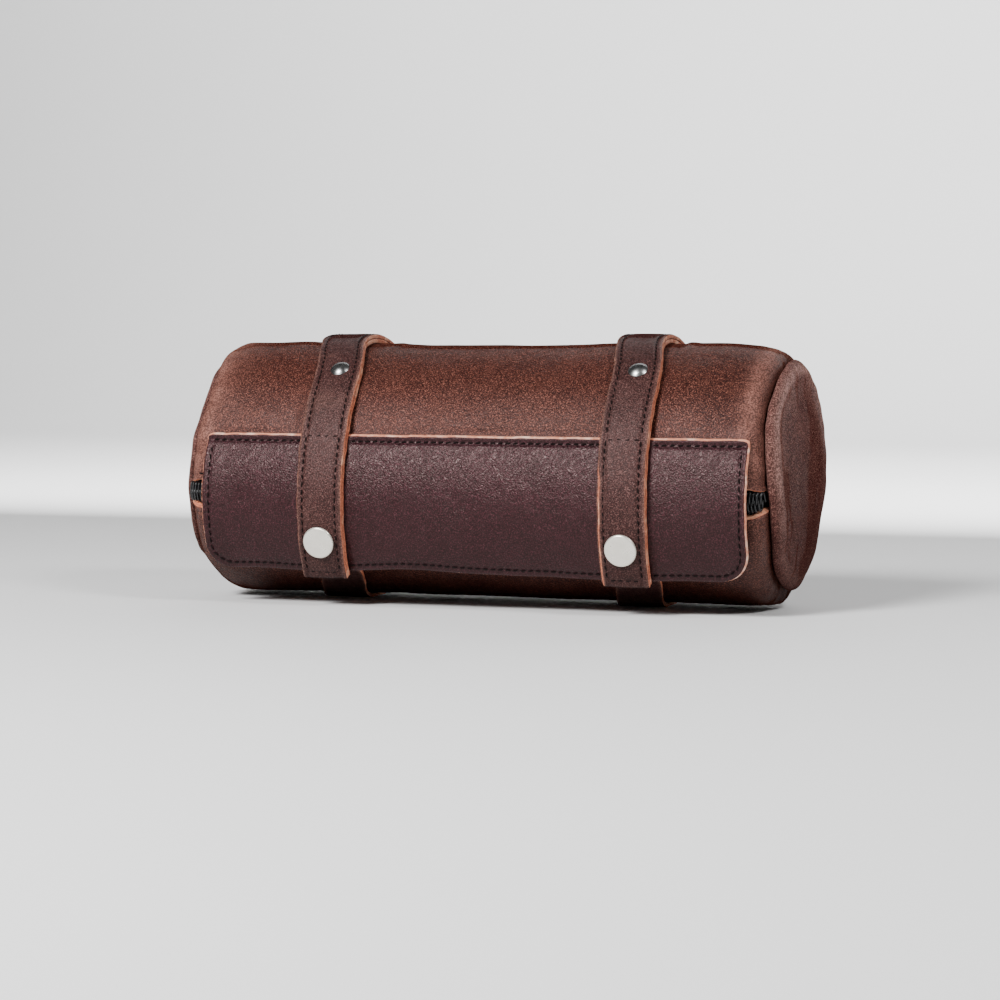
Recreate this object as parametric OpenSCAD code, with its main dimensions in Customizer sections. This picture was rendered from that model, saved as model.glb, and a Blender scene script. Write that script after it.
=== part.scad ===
// Barrel-shaped leather case: zipped mouth under a flap, held by two straps with snap fasteners.
// X runs along the barrel, the flap faces -Y, +Z is up and z = 0 is the plane that the case rests on.
// Angles around the barrel are counted from straight ahead (-Y), positive upwards.

/* [Barrel] */
// Outside diameter of the leather barrel
barrel_d = 101.6; // [96:0.2:108]
// Length over both end panels
overall_len = 254; // [230:1:280]
// Thickness of the barrel and end leather
leather_t = 2; // [1.6:0.1:2.2]
// Radius of the turned shoulder beside each end seam
shoulder_r = 5; // [4:0.5:6]

/* [Flap] */
// Width of the flap along the barrel
flap_w = 221; // [200:1:224]
// Shift of the flap along the barrel
flap_shift = 2.5; // [-3:0.5:3]
// Angle of the seam that holds the flap
flap_seam_angle = 13.3; // [12:0.1:15]
// Angle of the flap's sewn top edge
flap_top_angle = 17.8; // [17:0.1:20]
// Height of the flap's lower edge, from the barrel's axis
flap_bottom_z = -38.5; // [-40:0.5:-36]
// Radius of the flap's outer face
flap_r = 60; // [59:0.5:62]
// Radius of the flap's lower corners
flap_corner_r = 12; // [6:1:16]

/* [Straps] */
// Width of each strap
strap_w = 18.6; // [16:0.2:22]
// Distance between the two straps' centre lines
strap_spacing = 122.5; // [100:0.5:140]
// Shift of the strap pair along the barrel
strap_shift = 4.2; // [-6:0.1:6]
// Thickness of one strap ply
ply_t = 1.8; // [1.5:0.1:1.9]

/* [Fasteners] */
// Diameter of the snap caps
snap_cap_d = 12.6; // [11:0.1:14]
// Height of the snaps' centres, from the barrel's axis
snap_z = -25.2; // [-26:0.1:-24.5]
// Diameter of the rivet caps
rivet_cap_d = 7.6; // [6:0.1:9]
// Angle of the rivets around the barrel
rivet_angle = 48.5; // [46:0.5:60]

/* [Zip] */
// Angle of the zip's centre line
zip_angle = -9.3; // [-9.6:0.1:-9]
// Width of the slot in the leather
zip_slot_w = 9.8; // [9.6:0.1:10.4]
// Length of the pull tab
pull_len = 22; // [14:1:24]

/* [Hidden] */
$fn = 96;

far = 200;                                // reach of the cutting wedges
gap = 0.1;                                // air between neighbouring layers
thread_d = 0.8;

// Barrel, measured from its own axis
barrel_r = barrel_d / 2;
seam_x = overall_len / 2 - 9;             // each end seam's valley
seam_r = barrel_r - shoulder_r;           // radius of the valley
allowance = 6;                            // leather turned inside each end seam
lining_t = 0.8;
lining_r = barrel_r - leather_t - 0.9;    // outer face of the loose lining
lip_x0 = -95.5;                           // ends of the lip that gives way
lip_x1 = seam_x - 18;
lip_low_angle = -62;                      // where that lip creases

// Zip, drawn in a frame whose +Y leaves the barrel at the zip's centre line
slot_half = asin(zip_slot_w / 2 / barrel_r);
slot_top = zip_angle + slot_half;
slot_low = zip_angle - slot_half;
tape_out = barrel_r - leather_t - gap;
tape_t = 0.7;
tape_span = 13.5;                         // degrees of barrel that each tape covers
tape_gap = 1.05;                          // degrees from the centre line to each tape
coil_gap = 0.6;                           // degrees from the centre line to each coil
coil_span = 4.1;                          // degrees from the centre line to each coil's far side
zip_end = seam_x - shoulder_r + 0.6;      // tapes and coils stop where the shoulder starts to turn in
slider_len = 11;
slider_half_w = 4.4;
slider_x = lip_x0 - 0.8 - slider_len / 2; // parked at the closed end
slider_plate_t = 1;
slider_top = barrel_r + 0.2;              // underside of the slider's outer plate
bridge_r = 0.8;
bridge_x = 2;
pull_t = 0.7;

// Flap: its outer face is an arc that leaves the seam and stands off the barrel lower down
edge_t = 1.9;                             // flap leather and lining together
flap_x0 = flap_shift - flap_w / 2;
flap_x1 = flap_shift + flap_w / 2;
flap_in = barrel_r + gap;
flap_face_r = flap_in + edge_t;           // outer face of the sewn edge
flap_normal = 22;                         // angle at which the arc leaves the seam
hinge = polar(flap_face_r, flap_seam_angle);
flap_c = hinge - polar(flap_r, flap_normal);
flap_low_angle = asin((flap_bottom_z - flap_c[1]) / flap_r);
flap_lining_t = 0.6;
hinge_run = 5.2;                          // length of flap that bends beside the seam
strap_run = 6;                            // the same for the thicker straps
flap_start = flap_normal - hinge_run / flap_r * 180 / PI;
strap_start = flap_normal - strap_run / flap_r * 180 / PI;

// Straps
strap_in = barrel_r + gap;                // inner face where a strap lies on the barrel
strap_x = [strap_shift - strap_spacing / 2, strap_shift + strap_spacing / 2];
strap_t = 2 * ply_t + gap / 2;
lift_angle = 50;                          // the strap leaves the barrel here to climb over the flap
lift_d = (flap_face_r + gap - strap_in) / (1 - cos(lift_angle - flap_top_angle));
lift_c = polar(-lift_d, lift_angle);
lift_end = 15.5;                          // polar angle where the lifted arc meets the seam
cover_end = 215;                          // back end of the outer ply
front_end = flap_low_angle - 0.5;         // lower end of the straps, just below the flap's edge

// Snap axis, and the strap tail that carries the stud
snap_angle = asin((snap_z - flap_c[1]) / flap_r);
tail_mid_r = flap_r - 6;                  // middle of the tail on the snap's axis
tail_bend_r = 25;
tail_foot = flap_c + polar(tail_mid_r, snap_angle);
tail_c = tail_foot - polar(tail_bend_r, snap_angle);
tail_mid = strap_in + ply_t / 2;
tail_c_angle = -acos(-tail_c[0] / norm(tail_c));
tail_turn = acos((tail_mid - tail_bend_r) / norm(tail_c));
tail_leave = tail_c_angle - tail_turn;    // angle at which the tail leaves the barrel
tail_straight = norm(tail_c) * sin(tail_turn);
tail_tip = 5.5;
tail_lap = 0.6;                           // the straight run reaches into the arcs at both ends
tail_thin = 0.06;                         // and is thinner by this much on each face

// Resting plane and depth centre
rest_press = 0.7;                         // how far a strap is pressed flat underneath
axis_z = strap_in + ply_t - rest_press;
front_reach = flap_r + strap_t + gap - flap_c[0];
back_reach = strap_in + strap_t;
axis_y = (front_reach - back_reach) / 2;

function polar(r, a) = [-r * cos(a), r * sin(a)];

// ---------- helpers: everything below is drawn about the barrel's axis ----------

// Moves a child drawn about the barrel's axis into the row frame
module placed() { translate([0, axis_y, axis_z]) children(); }

// Extrudes a drawing of the (y, z) plane from x0 to x1
module along_x(x0, x1) { translate([x0, 0, 0]) rotate([90, 0, 90]) linear_extrude(x1 - x0) children(); }

module wedge_2d(a0, a1) {
    steps = ceil((a1 - a0) / 60);
    polygon(concat([[0, 0]], [for (i = [0:steps]) polar(far, a0 + (a1 - a0) * i / steps)]));
}

module arc_2d(r0, r1, a0, a1) {
    intersection() {
        difference() { circle(r1); circle(r0); }
        wedge_2d(a0, a1);
    }
}

// A curved strip of leather: radii r0 to r1 about c, angles a0 to a1
module strip(r0, r1, a0, a1, x0, x1, c = [0, 0]) {
    along_x(x0, x1) translate(c) arc_2d(r0, r1, a0, a1);
}

// Stands on the point at radius r and angle a about c, with +Z pointing away from c
module outward(r, a, x = 0, c = [0, 0]) {
    p = c + polar(r, a);
    translate([x, p[0], p[1]]) rotate([90 - a, 0, 0]) children();
}

// The same, at both snaps or at both rivets
module at_snaps(r) { for (x = strap_x) outward(r, snap_angle, x, flap_c) children(); }
module at_rivets(r) { for (x = strap_x) outward(r, rivet_angle, x) children(); }

// Revolves a drawing of (radius, x) about the barrel's axis
module revolved() { rotate([0, 90, 0]) rotate_extrude() children(); }

module cord_along_x(r, a, x0, x1, c = [0, 0]) {
    p = c + polar(r, a);
    translate([x0, p[0], p[1]]) rotate([0, 90, 0]) cylinder(h = x1 - x0, d = thread_d, $fn = 24);
}

module cord_arc(r, a0, a1, x, c = [0, 0]) {
    translate([x, c[0], c[1]]) rotate([90, 0, 90]) rotate([0, 0, 180 - a1])
        rotate_extrude(angle = a1 - a0) translate([r, 0]) circle(d = thread_d, $fn = 24);
}

// ---------- barrel and ends ----------

module barrel_wall_2d() {
    straight = seam_x - shoulder_r;
    translate([barrel_r - leather_t, -straight]) square([leather_t, 2 * straight]);
    for (side = [-1, 1]) scale([1, side]) {
        translate([seam_r, straight]) intersection() {
            difference() { circle(shoulder_r); circle(shoulder_r - leather_t); }
            translate([0, -0.01]) square(far);
        }
        translate([seam_r - allowance, seam_x - leather_t]) square([allowance + 0.01, leather_t]);
    }
}

module slot_cut() { strip(seam_r + 0.1, barrel_r + 2, slot_low, slot_top, -seam_x - 1, seam_x + 1); }

module barrel_panel() {
    color("#6b4434") placed() difference() {
        revolved() barrel_wall_2d();
        slot_cut();
        strip(barrel_r - leather_t - 1, barrel_r + 1, lip_low_angle - 0.3, slot_low + 1,
              lip_x0 - 0.5, lip_x1 + 0.5);
        at_rivets(barrel_r) cylinder(h = 10, r = 1.4, center = true);
    }
}

module barrel_lining() {
    color("#3a2f2a") placed() difference() {
        strip(lining_r - lining_t, lining_r, slot_top + 3.7, 360 + slot_low - 3.8,
              4 - seam_x, seam_x - 4);
        strip(lining_r - 2, lining_r + 1, 360 + lip_low_angle - 1, 360 + slot_low,
              lip_x0 - 0.5, lip_x1 + 0.5);
    }
}

module lip_panel() {
    color("#6b4434") placed()
        strip(barrel_r - leather_t, barrel_r, lip_low_angle + 0.8, slot_low, lip_x0, lip_x1);
}

module lip_lining() {
    color("#3a2f2a") placed()
        strip(lining_r - lining_t, lining_r, lip_low_angle + 1, slot_low - 3.8, lip_x0, lip_x1);
}

// Profile of the right-hand end panel in (radius, x): rim roll, shallow crown and turned-in allowance
rim_r = 3.2;
crown_h = overall_len / 2 - seam_x - gap / 2 - 2 * rim_r;
crown_r = (seam_r * seam_r + crown_h * crown_h) / (2 * crown_h);

module end_wall_2d() {
    base = seam_x + gap / 2;
    translate([seam_r, base + rim_r]) intersection() {
        difference() { circle(rim_r, $fn = 48); circle(rim_r - leather_t, $fn = 48); }
        translate([-0.01, -far]) square(2 * far);
    }
    translate([seam_r - allowance, base]) square([allowance + 0.01, leather_t]);
    translate([0, base + 2 * rim_r + crown_h - crown_r]) intersection() {
        difference() { circle(crown_r, $fn = 360); circle(crown_r - leather_t, $fn = 360); }
        translate([0, crown_r - crown_h - leather_t]) square([seam_r, crown_h + leather_t + 1]);
    }
}

module end_panel() { color("#5c3b30") placed() revolved() end_wall_2d(); }
module end_panel_right() { end_panel(); }
module end_panel_left() { mirror([1, 0, 0]) end_panel(); }

module end_lining() {
    color("#3a2f2a") placed() translate([seam_x + leather_t + 0.3, 0, 0]) rotate([0, 90, 0])
        cylinder(h = lining_t, r = seam_r - allowance - 1);
}
module end_lining_right() { end_lining(); }
module end_lining_left() { mirror([1, 0, 0]) end_lining(); }

// Folded tape over the raw edges of both seam allowances
module seam_binding() {
    inner = seam_r - allowance;
    color("#1d1a19") placed() revolved() difference() {
        translate([inner - 0.8, seam_x - leather_t - 0.8]) square([4.5, 2 * leather_t + 1.6 + gap / 2]);
        translate([inner - 0.1, seam_x - leather_t - gap]) square([far, 2 * leather_t + 2.5 * gap]);
    }
}
module seam_binding_right() { seam_binding(); }
module seam_binding_left() { mirror([1, 0, 0]) seam_binding(); }

module end_seam_threads() {
    color("#2a1712") for (side = [-1, 1]) placed() revolved()
        translate([seam_r - allowance + 4.6, side * (seam_x - leather_t - thread_d / 2 - 0.05)])
            circle(d = thread_d, $fn = 24);
}

// ---------- zip ----------

module tape(side, x0, x1) {
    a0 = side > 0 ? zip_angle + tape_gap : zip_angle - tape_span;
    strip(tape_out - tape_t, tape_out, a0, a0 + tape_span - tape_gap, x0, x1);
}

module coil(side, x0, x1) {
    a0 = side > 0 ? zip_angle + coil_gap : zip_angle - coil_span;
    strip(tape_out + gap, barrel_r, a0, a0 + coil_span - coil_gap, x0, x1);
}

module zip_tape_upper() { color("#141416") placed() tape(1, -zip_end, zip_end); }
module zip_coil_upper() { color("#0c0c0e") placed() coil(1, -zip_end, zip_end); }
module zip_tape_lower() { color("#141416") placed() tape(-1, lip_x0, lip_x1); }
module zip_coil_lower() { color("#0c0c0e") placed() coil(-1, lip_x0, lip_x1); }

// The lower tape and coil stay put beyond both ends of the lip
module zip_tape_ends() {
    color("#141416") placed() {
        tape(-1, -zip_end, lip_x0 - 0.5);
        tape(-1, lip_x1 + 0.5, zip_end);
    }
}
module zip_coil_ends() {
    color("#0c0c0e") placed() {
        coil(-1, -zip_end, lip_x0 - 0.5);
        coil(-1, lip_x1 + 0.5, zip_end);
    }
}

module zip_seam_thread() {
    color("#2a1712") placed()
        cord_along_x(barrel_r + thread_d / 2 + 0.02, slot_top + 2.6, 6 - seam_x, seam_x - 6);
}

module lip_seam_thread() {
    color("#2a1712") placed()
        cord_along_x(barrel_r + thread_d / 2 + 0.02, slot_low - 2.2, lip_x0 + 1, lip_x1 - 1);
}

// Slider: outer plate with side flanges, inner plate, thin wedge between the rows, and a bridge
// that holds the pull
module zip_slider_body() {
    w = 2 * slider_half_w;
    color("#2b2b2e") placed() outward(0, zip_angle, slider_x) {
        translate([-slider_len / 2, -slider_half_w, slider_top]) cube([slider_len, w, slider_plate_t]);
        for (side = [-1, 1])
            translate([-slider_len / 2, side * (slider_half_w - 0.25) - 0.25, tape_out + 0.3])
                cube([slider_len, 0.5, slider_top - tape_out]);
        translate([-slider_len / 2, -slider_half_w, tape_out - 2]) cube([slider_len, w, slider_plate_t]);
        translate([-slider_len / 2, -0.25, tape_out - 1.5]) cube([3.5, 0.5, slider_top - tape_out + 2]);
        for (side = [-1, 1])
            translate([side * bridge_x, 0, slider_top + slider_plate_t - 0.2])
                cylinder(h = 1.4, r = bridge_r, $fn = 48);
        translate([-bridge_x, -bridge_r, slider_top + slider_plate_t + 0.95])
            cube([2 * bridge_x, 2 * bridge_r, 0.4]);
    }
}

module zip_pull_tab() {
    eye_r = 2.3;
    tip_w = 6.4;
    neck_w = 3.6;
    waist = pull_len * 0.45;
    tip_x = pull_len - tip_w / 2;
    color("#2b2b2e") placed() outward(0, zip_angle, slider_x)
        translate([bridge_x, 0, slider_top + slider_plate_t + 0.12])
            linear_extrude(pull_t) difference() {
                union() {
                    circle(eye_r, $fn = 48);
                    polygon([[0, -neck_w / 2], [waist, -tip_w / 2], [tip_x, -tip_w / 2],
                             [tip_x, tip_w / 2], [waist, tip_w / 2], [0, neck_w / 2]]);
                    translate([tip_x, 0]) circle(d = tip_w, $fn = 48);
                }
                circle(bridge_r + 0.4, $fn = 48);
                translate([tip_x, 0]) circle(1.6, $fn = 48);
            }
}

// ---------- flap ----------

module flap_layer(r0, r1, inset = 0) {
    half = flap_w / 2 - inset;
    low = flap_bottom_z + inset;
    translate([flap_shift, 0, 0]) intersection() {
        strip(r0, r1, flap_low_angle, flap_start, -half, half, flap_c);
        rotate([90, 0, 0]) linear_extrude(far) difference() {
            translate([-half, low]) square([2 * half, far]);
            for (side = [-1, 1]) scale([side, 1]) difference() {
                translate([half - flap_corner_r, low - 1]) square([far, flap_corner_r + 1]);
                translate([half - flap_corner_r, low + flap_corner_r]) circle(flap_corner_r);
            }
        }
    }
}

module flap_panel() {
    color("#4a2c30") placed() difference() {
        flap_layer(flap_r - edge_t + flap_lining_t + 0.05, flap_r);
        at_snaps(flap_r) cylinder(h = 12, r = 2, center = true);
    }
}

module flap_lining() {
    color("#57423a") placed() difference() {
        flap_layer(flap_r - edge_t, flap_r - edge_t + flap_lining_t, 0.6);
        at_snaps(flap_r) cylinder(h = 12, r = 2, center = true);
    }
}

module flap_sewn_edge() {
    color("#4a2c30") placed() difference() {
        strip(flap_in, flap_face_r, flap_seam_angle + 0.2, flap_top_angle, flap_x0, flap_x1);
        for (x = strap_x) under_strap(x);
    }
}

// The hollow that a strap presses into the flap's sewn edge
module under_strap(x) {
    half = strap_w / 2 + gap;
    along_x(x - half, x + half) difference() {
        translate(lift_c) circle(lift_d + strap_in + 5);
        translate(lift_c) circle(lift_d + strap_in - gap);
    }
}

// The stretch of flap that flexes, between the seam and the stiff panel
module flap_bend() {
    color("#4a2c30") placed()
        strip(flap_r - edge_t, flap_r, flap_start + 0.1, flap_normal - 0.6, flap_x0, flap_x1, flap_c);
}

// One seam that holds the flap to the barrel and runs on across both straps
module flap_seam_thread() {
    a = flap_seam_angle + 1.1;
    on_flap = flap_face_r + thread_d / 2 + 0.02;
    on_strap = polar(lift_d + strap_in + strap_t + thread_d / 2 + 0.05, flap_normal + 0.5) + lift_c;
    clear = strap_w / 2 + 0.6;
    ends = [flap_x0 + 2.5, strap_x[0] - clear, strap_x[0] + clear, strap_x[1] - clear,
            strap_x[1] + clear, flap_x1 - 2.5];
    color("#2a1712") placed() {
        for (i = [0, 2, 4]) cord_along_x(on_flap, a, ends[i], ends[i + 1]);
        for (x = strap_x) translate([x - strap_w / 2 + 1, on_strap[0], on_strap[1]]) rotate([0, 90, 0])
            cylinder(h = strap_w - 2, d = thread_d, $fn = 24);
    }
}

module flap_edge_threads() {
    in = 2.8;
    r = flap_r + thread_d / 2 + 0.03;
    low = flap_low_angle + in / flap_r * 180 / PI;
    turn = flap_low_angle + flap_corner_r / flap_r * 180 / PI;
    clear = strap_w / 2 + 0.6;
    ends = [flap_x0 + flap_corner_r, strap_x[0] - clear, strap_x[0] + clear, strap_x[1] - clear,
            strap_x[1] + clear, flap_x1 - flap_corner_r];
    color("#2a1712") placed() {
        for (side = [-1, 1])
            cord_arc(r, turn, flap_start, flap_shift + side * (flap_w / 2 - in), flap_c);
        for (i = [0, 2, 4]) cord_along_x(r, low, ends[i], ends[i + 1], flap_c);
    }
}

// ---------- straps ----------

// Climbs from the barrel over the flap's edge, as far as the seam
module lift_2d(r) {
    intersection() {
        translate(lift_c) difference() { circle(lift_d + r + ply_t); circle(lift_d + r); }
        wedge_2d(lift_end, lift_angle);
    }
}

// Inner ply: from the seam over the top, down the back, underneath and forward to the tail with the stud
module wrap_2d() {
    lift_2d(strap_in);
    arc_2d(strap_in, strap_in + ply_t, lift_angle, 360 + tail_leave);
    rotate(-tail_leave) translate([tail_thin - strap_in - ply_t, -tail_lap])
        square([ply_t - 2 * tail_thin, tail_straight + 2 * tail_lap]);
    translate(tail_c) arc_2d(tail_bend_r - ply_t / 2, tail_bend_r + ply_t / 2, tail_leave, snap_angle);
    translate(tail_foot) rotate(-snap_angle) translate([-ply_t / 2, 0]) square([ply_t, tail_tip]);
}

module strap_wrap(x) {
    color("#513128") placed() difference() {
        along_x(x - strap_w / 2, x + strap_w / 2) wrap_2d();
        translate([0, 0, -axis_z - 10]) cube([far * 2, 40, 20], center = true);
        at_rivets(barrel_r) cylinder(h = 14, r = 1.4, center = true);
        at_snaps(tail_mid_r) cylinder(h = 6, r = 1.5, center = true);
    }
}

// Outer ply over the top and down the back
module strap_cover(x) {
    r = strap_in + ply_t + gap / 2;
    color("#513128") placed() difference() {
        along_x(x - strap_w / 2, x + strap_w / 2) {
            lift_2d(r);
            arc_2d(r, r + ply_t, lift_angle, cover_end);
        }
        at_rivets(barrel_r) cylinder(h = 14, r = 1.4, center = true);
    }
}

// One ply of a strap's swinging front, lying on the flap
module strap_front(x, r0) {
    color("#513128") placed() difference() {
        strip(r0, r0 + ply_t, front_end, strap_start, x - strap_w / 2, x + strap_w / 2, flap_c);
        at_snaps(flap_r) cylinder(h = 16, r = 2, center = true);
    }
}

module strap_left_wrap() { strap_wrap(strap_x[0]); }
module strap_right_wrap() { strap_wrap(strap_x[1]); }
module strap_left_cover() { strap_cover(strap_x[0]); }
module strap_right_cover() { strap_cover(strap_x[1]); }
module strap_left_backing() { strap_front(strap_x[0], flap_r + gap / 2); }
module strap_right_backing() { strap_front(strap_x[1], flap_r + gap / 2); }
module strap_left_face() { strap_front(strap_x[0], flap_r + gap + ply_t); }
module strap_right_face() { strap_front(strap_x[1], flap_r + gap + ply_t); }

// The stretch of each strap that flexes with the flap
module strap_bends() {
    color("#513128") placed() for (x = strap_x)
        strip(flap_r + gap / 2, flap_r + gap + 2 * ply_t, strap_start + 0.1, flap_normal - 1.5,
              x - strap_w / 2, x + strap_w / 2, flap_c);
}

module strap_wrap_threads() {
    r = strap_in + strap_t + thread_d / 2 + 0.02;
    color("#2a1712") placed() for (x = strap_x, side = [-1, 1])
        cord_arc(r, lift_angle + 1, cover_end - 3, x + side * (strap_w / 2 - 2.4));
}

module strap_front_threads() {
    r = flap_r + gap + 2 * ply_t + thread_d / 2 + 0.02;
    color("#2a1712") placed() for (x = strap_x, side = [-1, 1])
        cord_arc(r, front_end + 2, strap_start, x + side * (strap_w / 2 - 2.4), flap_c);
}

// ---------- rivets and snaps ----------

module rivet_caps() {
    h = 1.5;
    r = rivet_cap_d / 2;
    dome_r = (r * r + h * h) / (2 * h);
    color("#b9b9b6") placed() at_rivets(0) {
        intersection() {
            translate([0, 0, strap_in + strap_t + 0.15 + h - dome_r]) sphere(dome_r);
            translate([0, 0, strap_in + strap_t + 0.15]) cylinder(h = h + 1, r = r);
        }
        translate([0, 0, barrel_r - leather_t - 0.1])
            cylinder(h = leather_t + strap_t + 0.5, r = 1.3, $fn = 48);
    }
}

module rivet_backs() {
    color("#b9b9b6") placed() at_rivets(barrel_r - leather_t - 0.8) difference() {
        cylinder(h = 0.6, r = rivet_cap_d / 2);
        translate([0, 0, -1]) cylinder(h = 3, r = 1.35, $fn = 48);
    }
}

// Flat cap with a rolled rim, and the hollow barrel that holds the socket
module snap_caps() {
    base = flap_r + gap + 2 * ply_t + 0.05;
    r = snap_cap_d / 2;
    rim = 0.8;
    color("#d8d6cf") placed() at_snaps(0) {
        translate([0, 0, base]) rotate_extrude() union() {
            square([r - rim, 2 * rim]);
            translate([r - rim, rim]) circle(rim, $fn = 48);
        }
        translate([0, 0, flap_r - edge_t - 1.1]) difference() {
            cylinder(h = base - flap_r + edge_t + 1.2, r = 1.9, $fn = 48);
            translate([0, 0, -1]) cylinder(h = 3, r = 1.65, $fn = 48);
        }
    }
}

module snap_sockets() {
    top = flap_r - edge_t - 0.28;             // the flap's inner face is hollow across the disc
    h = 2.37;
    color("#c9c7c1") placed() at_snaps(0) difference() {
        union() {
            translate([0, 0, top - 1]) cylinder(h = 1, r = 5.2);
            translate([0, 0, top - h]) cylinder(h = h, r = 4.4);
        }
        translate([0, 0, top - h - 1]) cylinder(h = h - 0.2, r = 2.7);
        translate([0, 0, top - h - 1]) cylinder(h = 5, r = 2, $fn = 48);
    }
}

// Two wires across each socket that grip the stud's neck
module snap_springs() {
    color("#a9a9a6") placed() at_snaps(flap_r - edge_t - 2.1) for (side = [-1, 1])
        translate([side * 1.95, 0, 0]) rotate([90, 0, 0])
            cylinder(h = 2.9, d = 0.5, center = true, $fn = 24);
}

module snap_studs() {
    base = tail_mid_r + ply_t / 2 + 0.05;
    color("#c9c7c1") placed() at_snaps(0) {
        translate([0, 0, base]) cylinder(h = 0.45, r = 4.2);
        translate([0, 0, base + 0.4]) cylinder(h = 1.4, r = 1.35, $fn = 48);
        translate([0, 0, base + 1.7]) sphere(r = 1.6, $fn = 48);
    }
}

module snap_eyelets() {
    base = tail_mid_r - ply_t / 2 - 0.32;     // the tail's inner face is hollow across the flange
    color("#c9c7c1") placed() at_snaps(0) {
        translate([0, 0, base - 0.45]) cylinder(h = 0.45, r = 3.6);
        translate([0, 0, base - 0.2]) cylinder(h = ply_t + 0.5, r = 1.4, $fn = 48);
    }
}

barrel_panel();
barrel_lining();
end_panel_left();
end_panel_right();
end_lining_left();
end_lining_right();
seam_binding_left();
seam_binding_right();
end_seam_threads();
lip_panel();
lip_lining();
lip_seam_thread();
zip_tape_upper();
zip_coil_upper();
zip_tape_lower();
zip_coil_lower();
zip_tape_ends();
zip_coil_ends();
zip_seam_thread();
zip_slider_body();
zip_pull_tab();
flap_sewn_edge();
flap_seam_thread();
flap_bend();
flap_panel();
flap_lining();
flap_edge_threads();
strap_left_wrap();
strap_right_wrap();
strap_left_cover();
strap_right_cover();
strap_wrap_threads();
strap_bends();
strap_left_backing();
strap_right_backing();
strap_left_face();
strap_right_face();
strap_front_threads();
rivet_caps();
rivet_backs();
snap_caps();
snap_sockets();
snap_springs();
snap_studs();
snap_eyelets();
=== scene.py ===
import math

import bmesh
import bpy
import numpy as np
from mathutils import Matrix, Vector


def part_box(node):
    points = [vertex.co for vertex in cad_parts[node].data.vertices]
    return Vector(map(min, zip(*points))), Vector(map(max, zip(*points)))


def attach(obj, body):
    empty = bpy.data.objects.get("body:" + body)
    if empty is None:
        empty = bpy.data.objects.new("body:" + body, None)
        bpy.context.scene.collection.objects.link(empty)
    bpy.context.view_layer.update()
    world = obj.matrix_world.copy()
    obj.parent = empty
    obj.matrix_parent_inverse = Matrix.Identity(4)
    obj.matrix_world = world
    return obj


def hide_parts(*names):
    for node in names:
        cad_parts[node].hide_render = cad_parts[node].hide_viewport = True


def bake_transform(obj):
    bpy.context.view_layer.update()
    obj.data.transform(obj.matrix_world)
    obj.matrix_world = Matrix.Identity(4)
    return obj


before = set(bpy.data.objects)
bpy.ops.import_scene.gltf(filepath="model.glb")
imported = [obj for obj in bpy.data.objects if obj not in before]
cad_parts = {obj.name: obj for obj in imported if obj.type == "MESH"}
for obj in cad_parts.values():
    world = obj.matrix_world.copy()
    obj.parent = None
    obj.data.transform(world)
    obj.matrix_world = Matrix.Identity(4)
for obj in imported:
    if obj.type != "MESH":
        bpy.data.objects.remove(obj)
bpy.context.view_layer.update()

# Shapes are worked out in millimetres about the barrel's axis: x along it, -y towards the flap, +z up.
# Angles round the barrel are in degrees from straight ahead (-y), positive upwards.
END_LO, END_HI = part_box("end_panel_right")
AXIS = 1000 * np.array([0.0, (END_LO.y + END_HI.y) / 2, (END_LO.z + END_HI.z) / 2])
REST_DROP = AXIS[2]  # from the axis down to the table

LEATHER = 2.0  # thickness of the barrel and end leathers
BARREL_R = 50.8  # outer radius of the barrel
LINING_R = 47.9  # outer radius of its cloth lining
SEAM_X = 118.0  # end seams, from the middle
SEAM_R = 45.8  # end seams, from the axis
ZIP_ANGLE = -9.3
SLOT_HALF = 4.9  # half the width of the zip's slot
LIP_LOW = -62.0  # angle of the lip's crease
LIP_X = (-95.5, 100.0)
LIP_MIDDLE = -30.0  # an angle halfway down the lip

FLAP_X = (-108.0, 113.0)
FLAP_TOP = 17.8  # angle of the flap's sewn edge
SEAM_ANGLE = 13.3  # angle of the seam, which the flap hinges about
FLAP_R = 60.0  # outer radius of the flap below the seam
FLAP_NORMAL = 22.0  # which way the flap faces just below the seam
FLAP_LOW_Z = -38.5
FLAP_CORNER = 12.0  # radius of its lower corners
EDGE_R = BARREL_R + LEATHER  # outer face of the flap's sewn edge
SEAM_ABOVE = 0.8  # the seam's stitches, above the hinge
EDGE_STITCH = 2.8  # the edge stitches, in from the flap's edge
BEND_LENGTH = 11.0  # of flap and strap over which the bend weights fall off

STRAP_MID, STRAP_REACH = 4.2, 61.25
STRAP_X = {"left": STRAP_MID - STRAP_REACH, "right": STRAP_MID + STRAP_REACH}
STRAP_W = 18.6
PLY = 1.8  # thickness of one strap ply
STITCH_INSET = 2.4
STRAP_STEP = 0.9  # between the points of a strap's line
FRONT_RUN = 90.0  # length of a strap that holds its front
END_ROW = 2.6  # the row of stitches across a strap's lower end
COVER_END = 215.0  # angle at which the outer ply ends on the back

RNG = np.random.default_rng(7)


# ---------- numbers ----------

def polar(r, angle):
    """(y, z) at a radius and an angle."""
    a = np.radians(angle)
    return np.stack([-r * np.cos(a), r * np.sin(a)], axis=-1)


def signed(angle):
    """The same angle, from -180 to 180."""
    return np.where(angle > 180, angle - 360, angle)


def smooth(t):
    t = np.clip(t, 0, 1)
    return t * t * (3 - 2 * t)


def gauss(d, width):
    return np.exp(-((d / width) ** 2))


def lattice(cell, seed):
    """A fixed number from -1 to 1 for each whole-number cell."""
    c = cell.astype(np.int64)
    h = c[..., 0] * 374761393 + c[..., 1] * 668265263 + c[..., 2] * 1274126177 + seed * 1013904223
    h = h & 0xFFFFFFFF
    h = ((h ^ (h >> 13)) * 1274126177) & 0xFFFFFFFF
    return (h ^ (h >> 16)) / 0x7FFFFFFF - 1.0


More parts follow.
